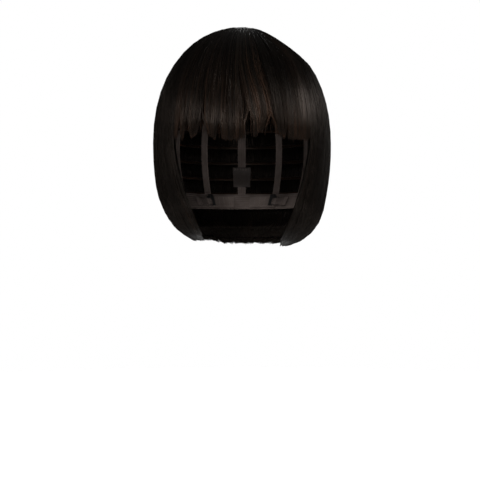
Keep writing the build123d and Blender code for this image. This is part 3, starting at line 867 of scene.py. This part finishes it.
patch_heights = heights_of("crown_patch")[0] + EDGE, CAP_TOP * 0.9985
patch_edges = [
    piping(np.linspace(0, 360, points), height, NET_DEPTH / 2, EDGE, EDGE_FLATNESS)
    for points, height in zip((90, 24), patch_heights)
]
patch_net = net((0.0, 360.0), patch_heights, PATCH_SPACING, PATCH_SLANT)
add_piece("crown_patch", merged(patch_net + patch_edges), NET)

low, high = heights_of("front_band")
azimuths = np.linspace(-FRONT_NET, FRONT_NET, 120)[None, :]
heights = np.linspace(high, low, 9)[:, None]
piece = add_piece("front_band", merged([
    cap_cloth(azimuths, heights, NET_DEPTH + SEWN_GAP, TRIM_DEPTH),
    piping(azimuths[0], low, NET_DEPTH + 0.3 * MM, 0.7 * MM),
    piping(azimuths[0], high, NET_DEPTH + 0.3 * MM, PIPING),
]), VELVET)
stitches = stitched("front_band_stitches", [
    cap_seam(azimuths[0], height, TRIM_DEPTH) for height in (low + 2 * MM, high - 1.5 * MM)
])
declare_cloth(azimuths, heights)

ELASTIC_GAP, ELASTIC_SEAM = 0.3, 0.8  # degrees to its neighbour, and from edge to seam
for side, side_name in SIDES:
    node = f"ear_elastic_{side_name}"
    low, high = heights_of(node)
    first, last = side * (SIDE_NET + ELASTIC_GAP), side * EAR_ELASTIC
    azimuths = np.linspace(first, last, 37)[None, :]
    heights = np.linspace(high, low, 90)[:, None]
    elastic = cap_cloth(azimuths, heights, 0, NET_DEPTH, ribs=0.12 * MM, rib_count=9)
    add_piece(node, elastic, ELASTIC)
    stitched(f"{node}_stitches", [
        cap_seam(azimuth, heights[:, 0], NET_DEPTH)
        for azimuth in (first + side * ELASTIC_SEAM, last - side * ELASTIC_SEAM)
    ])

low, high = heights_of("nape_band")
azimuths = np.linspace(EAR_ELASTIC + ELASTIC_GAP, 360 - ELASTIC_GAP - EAR_ELASTIC, 200)[None, :]
heights = np.linspace(high, low, 33)[:, None]
piece = add_piece("nape_band", merged([
    cap_cloth(azimuths, heights, 0, NET_DEPTH, ribs=0.14 * MM, rib_count=8, upright=False),
    *(piping(azimuths[0], height, NET_DEPTH / 2, PIPING) for height in (low, high)),
]), LACE)
stitches = stitched("nape_band_stitches", [
    cap_seam(azimuths[0], height, NET_DEPTH) for height in (low + 2 * MM, high - 2 * MM)
])
declare_cloth(azimuths, heights)

TAPE_HALF_WIDTH = 5 * MM
TAPE_TURNS = {"middle": 0, "left": 34, "right": -34}
SCALLOP = 2 * MM  # half the length of one scallop of the tape's edge


def metres_per_degree(radius, azimuth):
    """How far round the stretched cap a degree goes, at an azimuth."""
    turn = math.radians(azimuth)
    return radius * math.hypot(math.cos(turn), DEPTH_RATIO * math.sin(turn)) * math.pi / 180


for tape_name, turn in TAPE_TURNS.items():
    node = f"lace_tape_{tape_name}"
    low, high = heights_of(node)
    heights = np.linspace(high, low, 90)[:, None]
    across = np.linspace(-1, 1, 21)
    scallop = 1 - 0.07 * (1 + np.cos(heights / SCALLOP * math.pi)) * (np.abs(across) > 0.9)
    width = across * scallop * (TAPE_HALF_WIDTH - 0.1 * MM)
    azimuths = 180 - turn - width / metres_per_degree(cap_round_radius(heights, 0), turn)
    tape = cap_cloth(azimuths, heights, 0, NET_DEPTH, ribs=0.12 * MM, rib_count=5)
    add_piece(node, tape, LACE)
    stitched(f"{node}_stitches", [
        cap_seam(azimuths[:, column], heights[:, 0], NET_DEPTH) for column in (3, 17)
    ])

LABEL_HANG = 2.2 * MM  # how far the label's loose end hangs inwards
LABEL_SEWN = 4 * MM  # how much of its top lies flat
LABEL_REACH = 8.0  # half its width, in degrees
LABEL_WAVES, LABEL_WAVE_FROM = 14, 174  # how it waves from side to side, and from which azimuth
LABEL_PIPING, LABEL_PIPING_DEPTH = 0.4 * MM, TRIM_DEPTH - 0.25 * MM
low, high = heights_of("care_label")
azimuths = np.linspace(180 - LABEL_REACH, 180 + LABEL_REACH, 17)[None, :]
heights = np.linspace(high, low, 19)[:, None]
hang = LABEL_HANG * between(heights, high - LABEL_SEWN, low)
wave = np.sin(np.radians(azimuths - LABEL_WAVE_FROM) * LABEL_WAVES)
hang = hang * (1 + 0.5 * wave)
piece = add_piece("care_label", merged([
    cap_cloth(azimuths, heights, NET_DEPTH + SEWN_GAP + hang, TRIM_DEPTH + hang),
    piping(azimuths[0], high, LABEL_PIPING_DEPTH, LABEL_PIPING),
    piping(azimuths[0], low, LABEL_PIPING_DEPTH + hang[-1], LABEL_PIPING),
]), LABEL)
stitches = stitched("care_label_stitches", [
    cap_seam(azimuths[0, 1:-1], high - offset, TRIM_DEPTH) for offset in (1.2 * MM, 2.6 * MM)
])
declare_cloth(azimuths, heights)

# Ear tabs: cloth with a bound edge, on their own bodies
TAB_MIDDLE = 72.0
TAB_HALF_WIDTH = 12 * MM
TAB_CORNER = 8 * MM
TAB_BINDING, TAB_SEAM = 0.45 * MM, 2.2 * MM  # how far in from the edge
TAB_CLEARANCE = 0.05 * MM


def tab_half_width(height, low, margin):
    """Half the tab's width at a height, narrowing round its lower corners."""
    down = np.clip(low + TAB_CORNER - height, 0, TAB_CORNER - margin)
    return TAB_HALF_WIDTH - TAB_CORNER + np.sqrt((TAB_CORNER - margin) ** 2 - down**2)


def tab_outline(side, low, high, margin):
    """Azimuths and heights along the tab's edge, from its top round and up again."""
    straight = np.linspace(high - margin, low + TAB_CORNER, 12)
    corner = low + TAB_CORNER - (TAB_CORNER - margin) * np.sin(np.linspace(0, math.pi / 2, 14))
    down = np.concatenate([straight, corner])
    half = tab_half_width(down, low, margin) / metres_per_degree(CAP_RADIUS, TAB_MIDDLE)
    return side * (TAB_MIDDLE + np.concatenate([-half, half[::-1]])), np.concatenate([down, down[::-1]])


for side, side_name in SIDES:
    node, body = f"ear_tab_{side_name}", f"ear_flap_{side_name}"
    low, high = heights_of(node)
    corner = low + TAB_CORNER * (1 - np.sin(np.linspace(0.15, 0.995 * math.pi / 2, 12)))
    heights = np.concatenate([np.linspace(high, low + TAB_CORNER, 12), corner])[:, None]
    half = tab_half_width(heights, low, 0.0) / metres_per_degree(CAP_RADIUS, TAB_MIDDLE)
    azimuths = side * (TAB_MIDDLE + np.linspace(-1, 1, 25) * half)
    tab = cap_cloth(azimuths, heights, TAB_CLEARANCE, NET_DEPTH - TAB_CLEARANCE)
    tab = add_piece(node, tab, TAB_CLOTH, body)
    binding = piping(*tab_outline(side, low, high, TAB_BINDING), NET_DEPTH / 2, TAB_BINDING)
    binding = add_piece(f"{node}_binding", binding, RIBBON, body, nodes=())
    edge_seam = cap_seam(*tab_outline(side, low, high, TAB_SEAM), NET_DEPTH)
    stitches = stitched(f"{node}_stitches", [edge_seam], body)
    declare_cloth(azimuths, heights)

# ---- adjusters

ADJUSTER = next(joint for joint in frame["record"]["behaviour"]["joints"] if joint["name"] == "adjust_left")
_, ADJUSTER_Y, ADJUSTER_Z = ADJUSTER["pos_m"]
ADJUSTER_RADIUS = 52.6 * MM  # of the hooks' round path along the nape
ADJUSTER_SLOPE = 0.44  # how much wider the path is, for each metre up
POCKET_TURNS = (16.5, 23.5, 30.5, 37.5, 44.5)
POCKET_TAPE_TURNS = (11.0, 47.0)
POCKET_FACE = 2.85 * MM  # just inside the pocket tape's inner face
PLATE_FACE = 4.4 * MM
STRAP_MIDDLE = 3.6 * MM
STRAP_HALF = 0.4 * MM  # half its thickness
STRAP_RIBS, STRAP_RIB = 6, 0.08 * MM
SLOT_TURN, PLATE_END, ANCHOR_TURN, STRAP_END = 44.6, 48.6, 60.0, 66.0
STRAP_DROP_TURN = 2.4  # degrees over which the strap comes off the plate
STRAP_ON_PLATE = 0.55 * MM  # from the plate's inner face to the strap's middle
HOOK_SEAMS = (0.8, 3.0)  # degrees from the slot


def on_adjuster(turn, inset, height):
    """Points round the adjusters' axis: degrees from the nape's middle, inset, and height."""
    radius = ADJUSTER_RADIUS - inset + ADJUSTER_SLOPE * (height - ADJUSTER_Z)
    angle = np.radians(turn)
    x, y = radius * np.sin(angle), ADJUSTER_Y + radius * np.cos(angle)
    return np.stack(np.broadcast_arrays(x, y, height), axis=-1)


def adjuster_seam(turns, inset, heights):
    turns, heights = np.broadcast_arrays(turns, heights)
    path = on_adjuster(turns, inset, heights)
    return seam(path, unit(on_adjuster(turns, inset + MM, heights) - path), THREAD_RADIUS)


for side, side_name in SIDES:
    low, high = heights_of(f"pocket_tape_{side_name}")
    upright = np.linspace(low + 0.8 * MM, high - 0.5 * MM, 8)
    pocket_seams = [adjuster_seam(side * turn, POCKET_FACE, upright) for turn in POCKET_TURNS]
    lower_edge = side * np.linspace(*POCKET_TAPE_TURNS, 40)
    pocket_seams.append(adjuster_seam(lower_edge, POCKET_FACE, low + 1.2 * MM))
    stitched(f"pocket_stitches_{side_name}", pocket_seams)

    node = f"adjuster_strap_{side_name}"
    low, high = heights_of(node)
    along = np.linspace(SLOT_TURN, STRAP_END, 60)[:, None]
    over = 1 - between(along, PLATE_END, PLATE_END + STRAP_DROP_TURN)
    middle = STRAP_MIDDLE + (PLATE_FACE + STRAP_ON_PLATE - STRAP_MIDDLE) * over
    rise = np.linspace(0, 1, 25)[None, :]
    middle = middle + STRAP_RIB * np.cos(2 * math.pi * STRAP_RIBS * rise)
    heights = low + (high - low) * rise
    faces = [
        on_adjuster(side * along, middle + offset, heights) for offset in (-STRAP_HALF, STRAP_HALF)
    ]
    if side > 0:
        faces = [face[::-1] for face in faces]
    strap = add_piece(node, plain(slab(*faces)), ELASTIC, body=None)
    anchored, hooked = [
        tuple(on_adjuster(side * turn, STRAP_MIDDLE, ADJUSTER_Z)) for turn in (ANCHOR_TURN, PLATE_END)
    ]
    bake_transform(strap)

    inside = PLATE_FACE + 1.0 * MM
    sewn = np.linspace(low + MM, high - MM, 6)
    stitched(f"hook_stitches_{side_name}", [
        adjuster_seam(side * (SLOT_TURN + turn), inside, sewn) for turn in HOOK_SEAMS
    ], body=f"adjuster_{side_name}")

# CAD nodes that show as they are, with materials of their own
KEPT = {"pocket_tape": RIBBON, "adjuster_hook": HOOK, "strap_anchor": ELASTIC, "ear_stay": STAY}
for kind, material in KEPT.items():
    for _, side_name in SIDES:
        mesh = frame["nodes"][f"{kind}_{side_name}"].data
        mesh.materials.clear()
        mesh.materials.append(material)

# ---- light, floor and camera

FLOOR_Z = -0.337  # where the photo's display head stands
FLOOR_RADIUS = 1.2
FLOOR_SIDES = 96
FLOOR_GLOW = 0.6  # keeps the floor as pale as the background
VIEW_CENTRE = (-2 * MM, 0.0, -0.1)
CAMERA_DISTANCE = 1.42
LENS = 100
WHITE = (1, 1, 1, 1)
SKY_STRENGTH = 0.12
# Name, azimuth and elevation in degrees, distance and size in metres, and power in watts
LIGHTS = (
    ("key", 66, 27, 1.3, (0.35, 0.4), 8),
    ("front", -20, 17, 1.5, (0.4, 0.25), 7),
    ("low_front", 0, -5, 1.7, (0.7, 0.3), 6),
    ("rim", 120, 12, 1.3, (0.3, 0.8), 4),
    ("back_left", 150, 26, 1.5, (0.6, 0.4), 4),
    ("back_right", 215, 22, 1.5, (0.6, 0.4), 4),
)


def add_world():
    """A background that is white to the camera and lights the wig faintly."""
    world = bpy.data.worlds.new("studio")
    scene.world = world
    world.use_nodes = True
    tree = world.node_tree
    sky = tree.nodes["Background"]
    set_sockets(tree, sky, {"Color": WHITE, "Strength": SKY_STRENGTH})
    seen = add_node(tree, "Background", {"Color": WHITE, "Strength": 1.0})
    ray = add_node(tree, "LightPath", {})
    choose = add_node(tree, "MixShader", {
        "Fac": ray.outputs["Is Camera Ray"], 1: sky.outputs["Background"], 2: seen.outputs["Background"],
    })
    set_sockets(tree, tree.nodes["World Output"], {"Surface": choose.outputs["Shader"]})


def area_light(name, azimuth, elevation, distance, size, power):
    """A soft rectangular light, placed round the wig and facing it."""
    light = bpy.data.lights.new(name, "AREA")
    light.shape = "RECTANGLE"
    light.size, light.size_y = size
    light.energy = power
    lamp = add_object(name, light)
    turn, rise = math.radians(azimuth), math.radians(elevation)
    away = Vector((math.cos(rise) * math.sin(turn), -math.cos(rise) * math.cos(turn), math.sin(rise)))
    lamp.location = away * distance
    lamp.rotation_mode = "QUATERNION"
    lamp.rotation_quaternion = (-away).to_track_quat("-Z", "Y")


def floor_material():
    """Pale floor that fades out towards its edge."""
    material, tree, shader = new_material("pale_floor", roughness=0.9, specular=0.1)
    ray = add_node(tree, "LightPath", {})
    glow = calculate(tree, "MULTIPLY", ray.outputs["Is Camera Ray"], FLOOR_GLOW)
    place = add_node(tree, "TexCoord", {})
    distance = add_node(tree, "VectorMath", {0: place.outputs["Object"]})
    distance.operation = "LENGTH"
    fade = add_node(tree, "MapRange", {
        "Value": distance.outputs["Value"], "From Min": 0.4 * FLOOR_RADIUS,
        "From Max": 0.95 * FLOOR_RADIUS, "To Min": 1.0, "To Max": 0.0,
    })
    set_sockets(tree, shader, {
        "Base Color": (0.9, 0.9, 0.9, 1), "Emission Color": WHITE, "Emission Strength": glow,
        "Alpha": fade.outputs["Result"],
    })
    return material


add_world()
for light in LIGHTS:
    area_light(*light)

floor_mesh = bpy.data.meshes.new("floor")
rim = np.linspace(0, 2 * math.pi, FLOOR_SIDES, endpoint=False)
rim_points = [(FLOOR_RADIUS * math.cos(turn), FLOOR_RADIUS * math.sin(turn), FLOOR_Z) for turn in rim]
floor_mesh.from_pydata(rim_points, [], [list(range(FLOOR_SIDES))])
floor_mesh.materials.append(floor_material())
floor = add_object("floor", floor_mesh)
floor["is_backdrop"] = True

camera_data = bpy.data.cameras.new("camera")
camera_data.lens = LENS
camera = add_object("camera", camera_data)
camera.location = (VIEW_CENTRE[0], -CAMERA_DISTANCE, VIEW_CENTRE[2])
camera.rotation_euler = (math.pi / 2, 0, 0)
scene.camera = camera
scene.view_settings.view_transform = "Standard"

low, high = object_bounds()
